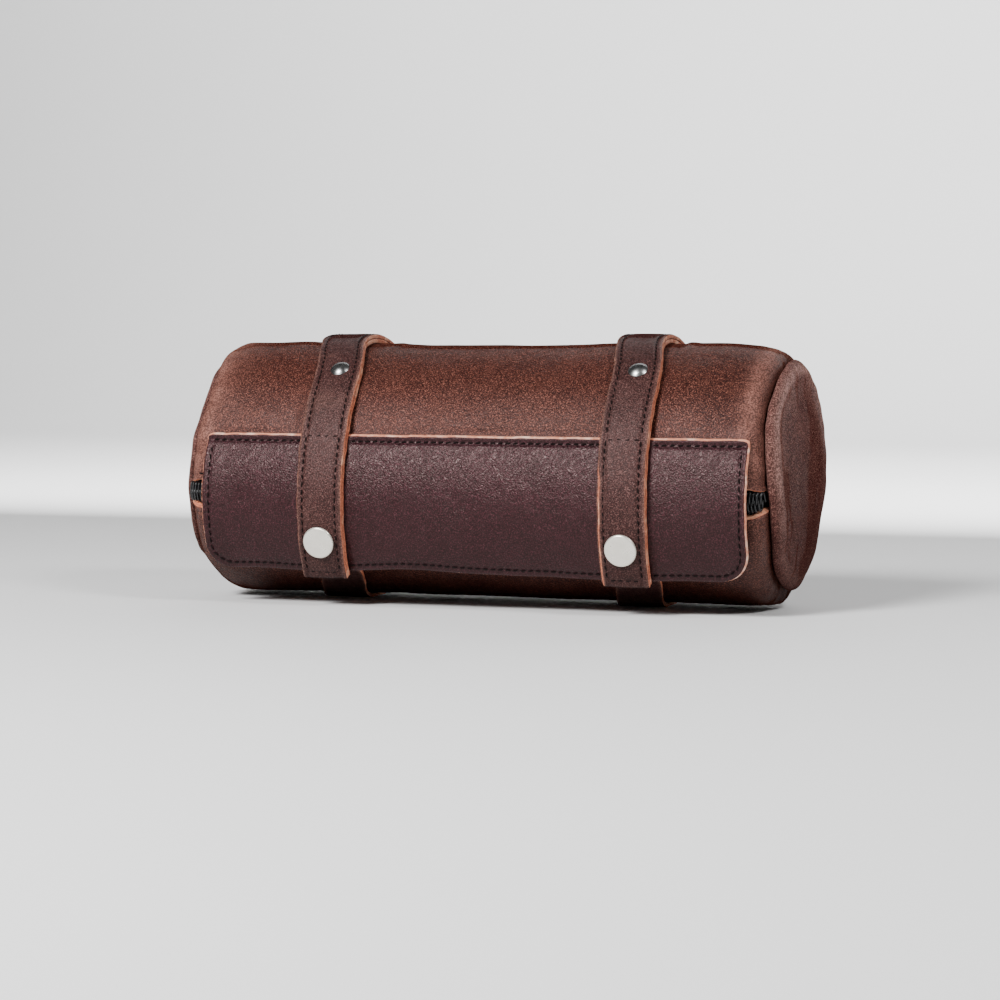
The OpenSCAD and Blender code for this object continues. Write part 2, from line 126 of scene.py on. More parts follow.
def bumps(p, size, seed):
    """Smooth noise from -1 to 1 whose features are about size across. p holds points in mm."""
    q = np.asarray(p, float) / size
    base = np.floor(q)
    f = q - base
    f = f * f * (3 - 2 * f)
    total = 0
    for corner in range(8):
        step = np.array([corner & 1, corner >> 1 & 1, corner >> 2 & 1])
        weight = np.prod(np.where(step, f, 1 - f), axis=-1)
        total = total + weight * lattice(base + step, seed)
    return total


def wobble(s, size, seed, lane=0.0):
    """Smooth noise from -1 to 1 along s. Each lane has its own."""
    return bumps(np.stack([s, s * 0, s * 0 + lane], -1), size, seed)


def point3(x, yz):
    x, y, z = np.broadcast_arrays(x, yz[..., 0], yz[..., 1])
    return np.stack([x, y, z], axis=-1)


def unit(vectors):
    return vectors / np.linalg.norm(vectors, axis=1)[:, None]


def arc_points(centre, r, a0, a1, step=0.8):
    n = max(3, int(abs(math.radians(a1 - a0)) * r / step))
    return np.asarray(centre) + polar(r, np.linspace(a0, a1, n))


def run_length(points):
    """Length along a line, from its first point to each of its points."""
    return np.concatenate([[0], np.cumsum(np.linalg.norm(np.diff(points, axis=0), axis=1))])


def at_run(s, run, table):
    """A table's values at run length s. run holds the run length of its rows."""
    return np.stack([np.interp(s, run, table[:, k]) for k in range(table.shape[1])], axis=-1)


def resample(points, step):
    """The same line with evenly spaced points."""
    run = run_length(points)
    return at_run(np.linspace(0, run[-1], int(run[-1] / step) + 1), run, points)


def relax(points, times):
    """Rounds the kinks of a line whose ends stay put."""
    p = points.copy()
    for _ in range(times):
        p[1:-1] = (p[:-2] + 2 * p[1:-1] + p[2:]) / 4
    return p


def outward(points):
    """Outward normals of a line in (y, z) that runs with rising angle."""
    t = unit(np.gradient(points, axis=0))
    return np.stack([-t[:, 1], t[:, 0]], axis=-1)


# ---------- meshes ----------

def build(name, verts, faces, mats, face_mats=None):
    """A mesh object in the row frame from points in mm about the barrel's axis."""
    mesh = bpy.data.meshes.new(name)
    mesh.from_pydata(((np.asarray(verts) + AXIS) / 1000).tolist(), [], faces)
    for m in mats:
        mesh.materials.append(m)
    if face_mats is not None:
        mesh.polygons.foreach_set("material_index", np.asarray(face_mats, np.int32))
    bm = bmesh.new()
    bm.from_mesh(mesh)
    bmesh.ops.recalc_face_normals(bm, faces=bm.faces)
    bm.to_mesh(mesh)
    bm.free()
    mesh.polygons.foreach_set("use_smooth", np.ones(len(mesh.polygons), bool))
    obj = bpy.data.objects.new(name, mesh)
    bpy.context.scene.collection.objects.link(obj)
    return obj


def grid_faces(index, wrap):
    """Quads over a grid of indices. wrap joins its last row to its first."""
    a, b = (index, np.roll(index, -1, axis=0)) if wrap else (index[:-1], index[1:])
    return np.stack([a[:, :-1], b[:, :-1], b[:, 1:], a[:, 1:]], axis=-1).reshape(-1, 4)


def tube_faces(index):
    """Faces round a tube whose rings are the rows of index, with a face over each end."""
    around = np.concatenate([index, index[:, :1]], axis=1)
    return grid_faces(around, False).tolist() + [index[0].tolist(), index[-1][::-1].tolist()]


def rims(shape, wrap):
    """The closed loops of boundary indices of a grid, each with the index just inside it."""
    n, m = shape
    if wrap:
        rows = np.arange(n)
        return [(rows * m + k, rows * m + inner) for k, inner in ((0, 1), (m - 1, m - 2))]
    i = np.concatenate([np.arange(n), np.full(m - 2, n - 1), np.arange(n)[::-1], np.zeros(m - 2, int)])
    j = np.concatenate([np.zeros(n, int), np.arange(1, m - 1), np.full(n, m - 1), np.arange(1, m - 1)[::-1]])
    inner = np.clip(i, 1, n - 2) * m + np.clip(j, 1, m - 2)
    return [(i * m + j, inner)]


def cut_edge(top, bottom, out, bulge, steps):
    """Rows of points from a sheet's top rim to its bottom rim, rounded and slightly rough."""
    rows = []
    for k in range(1, steps):
        s = k / steps
        arch = math.sin(math.pi * s)
        p = top + (bottom - top) * s + out * bulge * arch
        rough = (0.12 * bumps(p, 0.9, 5) + 0.1 * bumps(p, 2.7, 6))[:, None]
        rows.append(p + out * rough * arch)
    return rows


def sheet(name, top, bottom, mats, wrap=False, bulge=0.16, steps=4, wear_and_highlight=None, fill_hub=False):
    """A closed piece of leather or cloth from the grids of its two faces, with a slightly rounded cut edge.
    mats are for the top, the bottom and the cut edge. wrap joins the first grid row to the last.
    fill_hub fills the middle of a disc."""
    n, m = top.shape[:2]
    index = np.arange(n * m).reshape(n, m)
    verts = [top.reshape(-1, 3), bottom.reshape(-1, 3)]
    faces = [grid_faces(index, wrap), grid_faces(index, wrap)[:, ::-1] + n * m]
    kinds = [np.zeros(len(faces[0])), np.ones(len(faces[1]))]
    count = 2 * n * m
    loops = rims((n, m), wrap)
    hubs = []
    if fill_hub:
        hubs = [loops[0][0], loops[0][0] + n * m]
        loops = loops[1:]
    for loop, inner in loops:
        t, b = verts[0][loop], verts[1][loop]
        out = t - verts[0][inner]
        out /= np.linalg.norm(out, axis=1)[:, None] + 1e-9
        rows = [loop]
        for p in cut_edge(t, b, out, bulge, steps):
            verts.append(p)
            rows.append(count + np.arange(len(loop)))
            count += len(loop)
        rows.append(loop + n * m)
        for a, c in zip(rows[:-1], rows[1:]):
            faces.append(np.stack([a, np.roll(a, -1), np.roll(c, -1), c], axis=-1))
            kinds.append(np.full(len(a), 2.0))
    all_faces = np.concatenate(faces).tolist() + [hub.tolist() for hub in hubs]
    face_mats = np.concatenate(kinds).astype(int).tolist() + list(range(len(hubs)))
    obj = build(name, np.concatenate(verts), all_faces, mats, face_mats)
    if wear_and_highlight is not None:
        values = np.zeros(count, np.float32)
        values[:n * m] = wear_and_highlight.reshape(-1)
        obj.data.attributes.new("wear_and_highlight", "FLOAT", "POINT").data.foreach_set("value", values)
    return obj


def tube(name, points, across, up, radius, mats):
    """A wire along points. across and up are unit vectors at each point, square to the wire."""
    sides = 6
    turn = np.linspace(0, 2 * np.pi, sides, endpoint=False)[None, :, None]
    ring = (np.cos(turn) * across[:, None] + np.sin(turn) * up[:, None]) * radius
    index = np.arange(len(points) * sides).reshape(-1, sides)
    return build(name, (points[:, None] + ring).reshape(-1, 3), tube_faces(index), mats)


def stitch_shape(length, radius, sink):
    """One stitch: how far its points are along, beside and above its middle, and its faces."""
    sides, stations = 6, np.array([-1, -0.86, -0.5, 0, 0.5, 0.86, 1])
    girth = np.sqrt(np.clip(1 - stations ** 2, 0.03, 1)) ** 0.6
    turn = np.linspace(0, 2 * np.pi, sides, endpoint=False)
    along = np.repeat(stations * length / 2, sides)
    beside = np.outer(girth, np.cos(turn)).ravel() * radius
    above = (np.outer(girth, np.sin(turn)) - 0.7 * stations[:, None] ** 4).ravel() * radius - sink
    return along, beside, above, tube_faces(np.arange(len(stations) * sides).reshape(-1, sides))


def stitch_places(points, normals, pitch):
    """The middle of each stitch of a row, and the directions along, across and out from it."""
    run = run_length(points)
    count = max(1, int(run[-1] / pitch))
    at = (np.arange(count) + 0.5) * run[-1] / count
    n = unit(at_run(at, run, normals))
    t = at_run(at + 0.4, run, points) - at_run(at - 0.4, run, points)
    t = unit(t - n * np.sum(t * n, axis=1)[:, None])
    across = np.cross(n, t)
    tilt = np.radians(7 + 5 * RNG.standard_normal(count))[:, None]
    cos, sin = np.cos(tilt), np.sin(tilt)
    return at_run(at, run, points), t * cos + across * sin, across * cos - t * sin, n


def stitches(name, rows, pitch=3.0, length=2.15, radius=0.34, sink=0.1):
    """Single stitches along each row. A row is (points, normals), both in mm about the barrel's axis."""
    along, beside, above, one = stitch_shape(length, radius, sink)
    verts, faces = [], []
    for points, normals in rows:
        for centre, t, across, n in zip(*stitch_places(points, normals, pitch)):
            start = len(verts) * len(along)
            verts.append(centre + along[:, None] * t + beside[:, None] * across + above[:, None] * n)
            faces += [[start + v for v in f] for f in one]
    return build(name, np.concatenate(verts), faces, [THREAD])


def bend_by(obj, weights):
    """Bakes obj's transform into its points. weights is not used."""
    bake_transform(obj)


def stands_for(piece, slot, *nodes, body=None):
    """Hides the CAD nodes that a piece replaces and attaches it to the body it rides on, if one is given.
    slot is not used.
    """
    if body:
        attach(piece, body)
    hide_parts(*nodes)


def axis_points(obj):
    """obj's points in mm about the barrel's axis."""
    co = np.empty(len(obj.data.vertices) * 3)
    obj.data.vertices.foreach_get("co", co)
    return co.reshape(-1, 3) * 1000 - AXIS


# ---------- materials ----------

def srgb(r, g, b):
    c = np.array([r, g, b]) / 255
    c = np.where(c <= 0.04045, c / 12.92, ((c + 0.055) / 1.055) ** 2.4)
    return (*c.tolist(), 1.0)


class Shader:
    """Short calls for building one node material."""

    def __init__(self, name):
        self.mat = bpy.data.materials.new(name)
        self.mat.use_nodes = True
        self.nodes = self.mat.node_tree.nodes
        self.where = self.add("TexCoord").outputs["Object"]

    def put(self, socket, value):
        if isinstance(value, bpy.types.NodeSocket):
            self.mat.node_tree.links.new(value, socket)
        else:
            socket.default_value = value

    def fill(self, node, **values):
        """Puts values or sockets into a node's inputs."""
        for key, value in values.items():
            self.put(node.inputs[key.replace("_", " ")], value)
        return node

    def add(self, kind, **values):
        return self.fill(self.nodes.new("ShaderNode" + kind), **values)

    def set(self, **values):
        self.fill(self.nodes["Principled BSDF"], **values)

    def stretch(self, scale, turn=(0, 0, 0)):
        """Positions turned and then scaled, for a texture that runs one way."""
        n = self.add("Mapping", Vector=self.where, Scale=[1 / k for k in scale],
                     Rotation=[math.radians(a) for a in turn])
        n.vector_type = "TEXTURE"
        return n.outputs["Vector"]

    def noise(self, scale, detail=2.0, rough=0.5, where=None, distortion=0.0):
        return self.add("TexNoise", Vector=where or self.where, Scale=scale, Detail=detail, Roughness=rough,
                        Distortion=distortion).outputs["Fac"]

    def jitter(self, amount, scale):
        """Positions pushed about a little, so that cells lose their straight sides."""
        push = self.add("TexNoise", Vector=self.where, Scale=scale).outputs["Color"]
        n = self.add("VectorMath")
        n.operation = "MULTIPLY_ADD"
        for k, value in enumerate((push, (amount,) * 3, self.where)):
            self.put(n.inputs[k], value)
        return n.outputs["Vector"]

    def cells(self, scale, where):
        return self.add("TexVoronoi", Vector=where, Scale=scale).outputs["Distance"]

    def wave(self, scale, direction):
        n = self.add("TexWave", Vector=self.where, Scale=scale)
        n.bands_direction = direction
        return n.outputs["Fac"]

    def ramp(self, value, low, high, out_low=0.0, out_high=1.0):
        return self.add("MapRange", Value=value, From_Min=low, From_Max=high, To_Min=out_low,
                        To_Max=out_high).outputs["Result"]

    def math(self, op, a, b=0.0):
        n = self.add("Math")
        n.operation = op
        self.put(n.inputs[0], a)
        self.put(n.inputs[1], b)
        return n.outputs[0]

    def mix(self, factor, a, b):
        n = self.add("Mix")
        n.data_type = "RGBA"
        self.put(n.inputs["Factor"], factor)
        self.put(n.inputs[6], a)
        self.put(n.inputs[7], b)
        return n.outputs[2]

    def attribute(self, name):
        n = self.add("Attribute")
        n.attribute_name = name
        return n.outputs["Fac"]

    def up(self):
        """Height above the table, in metres."""
        return self.add("SeparateXYZ", Vector=self.where).outputs["Z"]

    def facing(self):
        """0 where the surface faces the viewer, 1 where it is seen edge-on."""
        return self.add("LayerWeight").outputs["Facing"]

    def bump(self, height, distance, strength=1.0, below=None):
        n = self.add("Bump", Strength=strength, Distance=distance, Height=height)
        if below is not None:
            self.put(n.inputs["Normal"], below)
        return n.outputs["Normal"]


def leather(name, dark, mid, light, worn_and_lit, grain, speckle, patch, shine, crease=0.0,
            rough=(0.42, 0.56), shade_top=0.042):
    """Oiled full-grain leather: pebbles with pale tops, which are partly painted glints of light, cloudy
    pull-up, a paler colour where the attribute of rubbed wear and painted highlight is high, and painted
    shade near the table. It shines less where it is seen edge-on."""
    s = Shader(name)
    pebble = s.cells(grain, s.jitter(0.0006, 900))
    fine = s.noise(2400, 2, 0.6)
    # clouds of the dark, middle and light colours
    base = s.mix(s.ramp(s.noise(24, 3, 0.6), 0.25, 0.6, 0.25, 1.0), dark, mid)
    base = s.mix(s.ramp(s.noise(80, 3, 0.55), 0.45, 0.8, 0.0, patch), base, light)
    # paler colour for rubbed wear and for painted highlights, where the attribute says
    wear_and_highlight = s.math("MULTIPLY", s.attribute("wear_and_highlight"), s.ramp(s.noise(170, 3, 0.6), 0.28, 0.66, 0.35, 1.0))
    base = s.mix(wear_and_highlight, base, worn_and_lit)
    # dark between the pebbles, pale on their tops; the pale tops are partly painted glints of light on the
    # pebbles
    deep = s.mix(0.8, base, (0, 0, 0, 1))
    base = s.mix(s.ramp(pebble, 0.22, 0.62, 0.0, 0.85), base, deep)
    tops = s.ramp(s.noise(2000, 3, 0.75), 0.52, 0.66)
    base = s.mix(s.math("MULTIPLY", tops, speckle), base, s.mix(wear_and_highlight, light, worn_and_lit))
    # painted shade: darker near the table, up to shade_top above it
    base = s.mix(s.ramp(s.up(), 0.004, shade_top, 0.6, 0.0), base, deep)
    height = s.math("MULTIPLY", s.math("SUBTRACT", 1.0, pebble), 0.8)
    height = s.math("ADD", height, s.math("MULTIPLY", fine, 0.35))
    normal = s.bump(height, 0.0002, 0.8)
    normal = s.bump(s.noise(330, 3, 0.6), 0.0004, 0.25, normal)
    if crease:
        lines = s.noise(230, 4, 0.6, s.stretch((1.0, 1.0, 2.6), (0, -52, 0)), 0.4)
        fold = s.math("ABSOLUTE", s.math("SUBTRACT", lines, 0.5))
        normal = s.bump(s.ramp(fold, 0.0, 0.09), 0.0003 * crease, 0.8, normal)
        # painted shade darkening the creases
        base = s.mix(s.ramp(fold, 0.0, 0.05, 0.35 * crease, 0.0), base, deep)
    s.set(Base_Color=base, Normal=normal, Roughness=s.ramp(s.noise(340, 3, 0.6), 0.3, 0.7, *rough))
    glance = s.ramp(s.facing(), 0.4, 0.78, 1.0, 0.0)
    s.set(Specular_IOR_Level=s.math("MULTIPLY", glance, shine), Specular_Tint=srgb(250, 216, 212))
    return s.mat


def raw_edge(name, dark, mid, light):
    """Cut edge of leather: fibres, undyed inside."""
    s = Shader(name)
    fibre = s.noise(900, 3, 0.65, s.stretch((0.6, 1.6, 1.6)))
    base = s.mix(s.ramp(fibre, 0.35, 0.65), dark, mid)
    base = s.mix(s.ramp(s.noise(150, 3, 0.6), 0.5, 0.75), base, light)
    s.set(Base_Color=base, Roughness=0.85, Normal=s.bump(fibre, 0.0003, 0.8))
    return s.mat


def suede(name, dark, light):
    """Flesh side of leather."""
    s = Shader(name)
    nap = s.noise(1400, 4, 0.7)
    base = s.mix(s.ramp(s.noise(90, 3, 0.6), 0.3, 0.7), dark, light)
    base = s.mix(s.ramp(nap, 0.4, 0.7, 0.0, 0.4), base, light)
    s.set(Base_Color=base, Roughness=0.95, Normal=s.bump(nap, 0.0003, 0.8))
    return s.mat


def cloth(name, dark, light, threads=520):
    """Plain weave."""
    s = Shader(name)
    weave = s.math("MULTIPLY", s.wave(threads, "X"), s.wave(threads, "DIAGONAL"))
    fuzz = s.noise(1500, 3, 0.7)
    base = s.mix(s.ramp(weave, 0.0, 0.9), dark, light)
    base = s.mix(s.ramp(fuzz, 0.4, 0.8, 0.0, 0.35), base, light)
    s.set(Base_Color=base, Roughness=0.9, Normal=s.bump(s.math("ADD", weave, fuzz), 0.00018, 0.8))
    return s.mat


def thread(name, dark, light):
    """Waxed twisted thread."""
    s = Shader(name)
    twist = s.wave(900, "DIAGONAL")
    base = s.mix(s.math("MULTIPLY", twist, s.noise(600)), dark, light)
    s.set(Base_Color=base, Roughness=0.6, Specular_IOR_Level=0.12, Normal=s.bump(twist, 0.00012, 0.9))
    return s.mat


def metal(name, colour, rough, metallic=1.0):
    """Plated metal with faint scratches and smudges."""
    s = Shader(name)
    smudge = s.noise(300, 3, 0.6)
    lines = s.noise(2600, 2, 0.7, s.stretch((1, 1, 0.06), (12, 38, 0)))
    base = s.mix(s.ramp(smudge, 0.4, 0.75, 0.0, 0.12), colour, srgb(120, 108, 92))
    s.set(Base_Color=base, Metallic=metallic, Roughness=s.ramp(smudge, 0.3, 0.7, rough * 0.8, rough * 1.4))
    s.set(Normal=s.bump(lines, 0.00002, 0.25))
    return s.mat


def plastic(name, dark, light):
    """Satin nylon."""
    s = Shader(name)
    base = s.mix(s.ramp(s.noise(700, 3, 0.6), 0.4, 0.7), dark, light)
    s.set(Base_Color=base, Roughness=0.33, Normal=s.bump(s.noise(2500), 0.00004, 0.5))
    return s.mat


BODY = leather("body_leather", srgb(35, 12, 10), srgb(54, 20, 16), srgb(162, 102, 86), srgb(150, 102, 90),
               grain=1350, speckle=0.72, patch=0.1, shine=0.24)
END = leather("end_leather", srgb(52, 22, 20), srgb(78, 38, 35), srgb(188, 134, 122), srgb(196, 150, 140),
              grain=1350, speckle=0.62, patch=0.1, shine=0.05, shade_top=0.07)
FLAP = leather("flap_leather", srgb(27, 6, 11), srgb(41, 11, 18), srgb(122, 68, 80), srgb(124, 78, 72),
               grain=1500, speckle=0.4, patch=0.06, crease=0.3, shine=0.36, rough=(0.3, 0.4))
STRAP = leather("strap_leather", srgb(36, 15, 15), srgb(56, 28, 27), srgb(152, 110, 104), srgb(166, 120, 106),
                grain=1500, speckle=0.46, patch=0.1, crease=0.1, shine=0.28)
RAW = raw_edge("raw_edge", srgb(146, 74, 52), srgb(208, 124, 90), srgb(238, 184, 152))
# a paler copy of the cut edge for the flap's edges: painted highlight of light from above, as on its top edge
RAW_PALE = raw_edge("raw_edge_pale", srgb(184, 106, 80), srgb(222, 152, 122), srgb(246, 216, 196))
FLESH = suede("flesh_side", srgb(84, 54, 38), srgb(124, 84, 60))
LINING = cloth("lining_cloth", srgb(40, 31, 27), srgb(66, 52, 44))
FLAP_LINING = suede("flap_lining", srgb(70, 46, 36), srgb(104, 72, 56))
TAPE = cloth("zip_tape", srgb(9, 9, 10), srgb(30, 30, 33), threads=900)
BINDING = cloth("binding_tape", srgb(14, 13, 13), srgb(36, 33, 32), threads=700)
THREAD = thread("thread_dark", srgb(10, 4, 4), srgb(26, 12, 11))
NICKEL = metal("nickel", srgb(238, 233, 222), 0.3, metallic=0.7)
RIVET = metal("rivet_nickel", srgb(150, 150, 150), 0.24)
SNAP_METAL = metal("snap_metal", srgb(205, 200, 190), 0.3)
DARK_METAL = metal("dark_metal", srgb(70, 66, 64), 0.35)
COIL = plastic("zip_nylon", srgb(10, 10, 11), srgb(30, 30, 33))


# ---------- shared surfaces ----------

def seam_wander(angle, right):
    """How far an end seam strays outwards. The zip holds it out, and the left one leans in above it."""
    a = np.radians(angle)
    ring = np.stack([np.cos(a) * 50, np.sin(a) * 50, 200.0 * right + np.zeros_like(a)], axis=-1)
    beside_zip = np.exp((np.cos(a - math.radians(ZIP_ANGLE)) - 1) / 0.16)
    pulled_in = np.where(right, 2.4, 0.9) * (1 - beside_zip)
    turned = signed(angle)
    lean = np.where(right, 0.0, 3.4 * gauss(turned - 38, 30) - 1.2 * gauss(turned + 42, 14))
    return 0.7 * bumps(ring, 22, 31) + 0.3 * bumps(ring, 8, 32) - pulled_in - lean


def strap_cover_mask(x, margin=2.0):
    """1 where a strap lies on the leather, falling to 0 just outside it."""
    return sum(1 - smooth((np.abs(x - c) - STRAP_W / 2) / margin) for c in STRAP_X.values())


def flap_cover_mask(x, angle):
    """1 where the flap lies on the leather, falling to 0 just outside it."""
    inside_x = smooth((x - FLAP_X[0] + 1) / 3) * smooth((FLAP_X[1] + 1 - x) / 3)
    return inside_x * smooth((angle + 52) / 6) * smooth((FLAP_TOP + 4 - angle) / 4)


def lip_weight(x, angle):
    """How far a point follows the mouth's lip: all the way in its middle, not at all at its ends."""
    along = smooth((x - LIP_X[0]) / 55) * smooth((LIP_X[1] - x) / 55)
    turned = signed(angle)
    return along * smooth((turned - LIP_LOW + 9) / 18) * (turned < ZIP_ANGLE)


def bend_with_lip(piece, angle=None):
    """Bakes a piece's transform, passing the weights with which it would follow the mouth's lip, as if it
    were all at one angle if that is given.
    """
    p = axis_points(piece)
    if angle is None:
        angle = np.degrees(np.arctan2(p[:, 2], -p[:, 1]))
    bend_by(piece, lip_weight(p[:, 0], angle))


def slot_half_angle(x):
    """The zip's slot closes in a little beside the end seams."""
    pinch = smooth((np.abs(x) - 112.5) / 5.5)
    return np.degrees((SLOT_HALF - 1.2 * pinch) / BARREL_R)


# ---------- barrel ----------

def barrel_profile():
    """(x, r) of the leather's outer face from the hidden edge inside one end seam to the other's."""
    turn = 6.8
    a = np.linspace(0, 90, 11)
    x = SEAM_X - turn + turn * np.sin(np.radians(a)) ** 0.86
    r = BARREL_R - turn + turn * np.cos(np.radians(a))
    flat = np.linspace(0, SEAM_X - turn, 78)[:-1]
    tail = np.array([[SEAM_X, SEAM_R - 3.2], [SEAM_X, SEAM_R - 5.2]])
    right = np.concatenate([np.stack([flat, np.full_like(flat, BARREL_R)], -1), np.stack([x, r], -1), tail])
    left = right[::-1][:-1] * [-1, 1]
    return np.concatenate([left, right])


def barrel_lift(x0, x, angle, t, at, nr):
    """How far the leather stands off the plain barrel, in mm."""
    turned = signed(angle)
    covered = np.clip(strap_cover_mask(x) + flap_cover_mask(x, turned), 0, 1)
    top = smooth(turned / 70) * smooth((200 - angle) / 60)
    sag = -0.9 * top * gauss(x0 - 4, 34) - 2.0 * top * smooth((x0 - 76) / 40) * nr - 0.25
    body = smooth((SEAM_X - np.abs(x0)) / 14)
    puff = 0.9 * smooth((np.abs(x0 - STRAP_MID) - 74) / 18) * body
    gathers = 0.42 * bumps(at * [0.25, 1, 1], 5.5, 3) * gauss(np.abs(x0) - 114, 7)
    ripple = 0.5 * bumps(at, 26, 1) + 0.22 * bumps(at, 11, 2)
    lift = (sag + puff + ripple * body) * (1 - covered) - 0.12 * covered + gathers
    beside = gauss(np.abs(np.abs(x - STRAP_MID) - STRAP_REACH) - STRAP_W / 2 - 2.4, 2.0)
    lift = lift + 0.35 * beside * (1 - covered)
    edge = np.minimum(t, 1 - t) * 2 * np.pi * BARREL_R
    return lift + 0.35 * gauss(edge, 1.6) - 0.3 * gauss(edge - 2.6, 0.9)


def barrel_wear_and_highlight(x0, turned, at):
    """Paler leather: rubbed wear on the shoulders, and painted highlight on the shoulders' upper part,
    towards the left end and along the front above the flap.
    """
    # shoulders: rubbed wear, with painted highlight growing towards the top
    wear_and_highlight = 0.95 * gauss(np.abs(x0) - 114, 5) * (0.3 + 0.7 * smooth((at[..., 2] + 30) / 45))
    # painted highlight towards the left end, more on its upper side
    wear_and_highlight = wear_and_highlight + 0.35 * gauss(x0 + 112, 14) * smooth((turned + 20) / 60)
    # painted highlight in a band along the front above the flap
    wear_and_highlight = wear_and_highlight + 0.13 * gauss(turned - 24, 20) * (0.7 + 0.3 * bumps(at, 40, 8))
    return np.clip(wear_and_highlight, 0, 1)


def barrel_skin():
    line = barrel_profile()
    tangent = unit(np.gradient(line, axis=0))
    x0, r0 = line[:, 0][:, None], line[:, 1][:, None]
    nx, nr = -tangent[:, 1][:, None], tangent[:, 0][:, None]
    t = np.linspace(0, 1, 217)
    t = (0.94 * t + 0.06 * smooth(t))[None, :]
    half = slot_half_angle(x0)
    angle = ZIP_ANGLE + half + (360 - 2 * half) * t
    near_slot = 1 - smooth(np.minimum(t, 1 - t) * 60)
    slant = np.degrees(1 / BARREL_R) * near_slot * np.where(t < 0.5, 0.5, -1.3)
    x = x0 + np.sign(x0) * seam_wander(angle, x0 > 0) * smooth((np.abs(x0) - 96) / 22)
    at = point3(x, polar(r0, angle))
    lift = barrel_lift(x0, x, angle, t, at, nr)
    out = point3(x + nx * lift, polar(r0 + nr * lift, angle + slant))
    inner = point3(x + nx * (lift - LEATHER), polar(r0 + nr * (lift - LEATHER), angle))
    out[..., 2] = np.maximum(out[..., 2], 0.25 - REST_DROP + PLY)
    skin = sheet("barrel_skin", out, inner, [BODY, FLESH, RAW], wear_and_highlight=barrel_wear_and_highlight(x0, signed(angle), at))
    bend_with_lip(skin)
    stands_for(skin, "body_leather", "barrel_panel", "lip_panel")


def barrel_lining():
    x = np.linspace(8 - SEAM_X, SEAM_X - 9, 110)[:, None]
    t = np.linspace(0, 1, 150)[None, :]
    clear = 9.2
    angle = ZIP_ANGLE + clear + (360 - 2 * clear) * t
    at = point3(x, polar(LINING_R, angle))
    wave = -0.5 + 0.45 * bumps(at, 16, 21) + 0.2 * bumps(at, 7, 22)
    wave = wave * smooth(np.minimum(t, 1 - t) * 14)
    outer = point3(x, polar(LINING_R + wave, angle))
    inner = point3(x, polar(LINING_R + wave - 0.6, angle))
    piece = sheet("barrel_lining_cloth", outer, inner, [LINING] * 3, bulge=0.05, steps=2)
    bend_with_lip(piece)
    stands_for(piece, "body_lining", "barrel_lining", "lip_lining")


# ---------- ends ----------

def end_profile():
    """(r, distance past the seam) of an end panel's outer face, from its centre to its hidden cut edge."""
    knots = np.array([
        [0.0, 7.4], [12, 7.3], [24, 6.9], [32, 6.3], [37, 5.6], [40.5, 4.9], [43.2, 4.0], [44.9, 2.9],
        [45.6, 1.6], [45.3, 0.6], [43.9, 0.1], [42, 0.05], [39.5, 0.05]])
    fine = resample(knots, 1.0)
    return relax(resample(relax(fine, 4), 0.8), 3)


def end_shift(r, angle, sign):
    """How far an end follows its seam at radius r. Its middle goes in by a set amount."""
    edge = smooth((r - 24) / 20)
    middle = 2.0 if sign > 0 else 0.8
    return seam_wander(angle, sign > 0) * edge - middle * (1 - edge)


def end_lift(r0, angle, at, sign):
    """How far an end's leather stands off its plain dome."""
    wrinkle = 0.3 * bumps(at, 6.5, 13) * gauss(r0 - 42, 6)
    soft = 0.5 * bumps(at, 30, 11) + 0.2 * bumps(at, 12, 12)
    rim = 0.7 * gauss(r0 - 39.5, 3.4) * smooth(0.75 + 0.6 * bumps(at, 38, 14))
    lift = wrinkle + rim + soft * smooth((50 - r0) / 20) - 0.2
    corner = gauss(angle - 318, 24) * gauss(r0 - 37, 8)
    lift = lift + corner * 0.8 * bumps(at * [1, 1.7, 0.7], 4.6, 15)
    dent = 1.6 if sign > 0 else 0.4
    return lift - dent * gauss(at[..., 2] - 27, 14) * smooth((44 - r0) / 8)


def end_panel(side, sign):
    crown = 1.0 if sign > 0 else 0.78
    line = end_profile()
    line = line[line[:, 0] > 0.8] * [1, crown] + [0, SEAM_X]
    tangent = unit(np.gradient(line, axis=0))
    nr, nx = -tangent[:, 1][None, :], tangent[:, 0][None, :]
    r0, x0 = line[:, 0][None, :], line[:, 1][None, :]
    angle = np.linspace(0, 360, 240, endpoint=False)[:, None]
    at = point3(x0 + 400 * sign, polar(r0, angle))
    x = x0 + end_shift(r0, angle, sign)
    lift = end_lift(r0, angle, at, sign)
    outer = point3(sign * (x + nx * lift), polar(r0 + nr * lift, angle))
    inner = point3(sign * (x + nx * (lift - LEATHER)), polar(r0 + nr * (lift - LEATHER), angle))
    # painted highlight along the end's rim roll, brighter towards the top
    wear_and_highlight = 0.95 * gauss(r0 - 41.3, 2.6) + 0.2 * gauss(r0 - 35, 5)
    wear_and_highlight = np.clip(wear_and_highlight * (0.3 + 0.7 * smooth((at[..., 2] + 35) / 55)), 0, 1)
    panel = sheet(f"end_skin_{side}", outer, inner, [END, FLESH, RAW], wrap=True, wear_and_highlight=wear_and_highlight, fill_hub=True)
    stands_for(panel, "end_leather", f"end_panel_{side}", body="case")


def end_lining(side, sign):
    rim_r = 37.2
    r = np.linspace(0.8, rim_r, 26)[None, :]
    angle = np.linspace(0, 360, 90, endpoint=False)[:, None]
    at = point3(300.0 * sign, polar(r, angle))
    loose = (0.4 * bumps(at, 14, 23) + 0.8 * gauss(r, 22)) * smooth((rim_r - r) / 6)
    x = SEAM_X + 0.1 + end_shift(r, angle, sign) + loose
    outer, inner = point3(sign * (x + 0.6), polar(r, angle)), point3(sign * x, polar(r, angle))
    piece = sheet(f"end_lining_cloth_{side}", outer, inner, [LINING] * 3, wrap=True, bulge=0.05, steps=2,
                  fill_hub=True)
    stands_for(piece, "body_lining", f"end_lining_{side}", body="case")


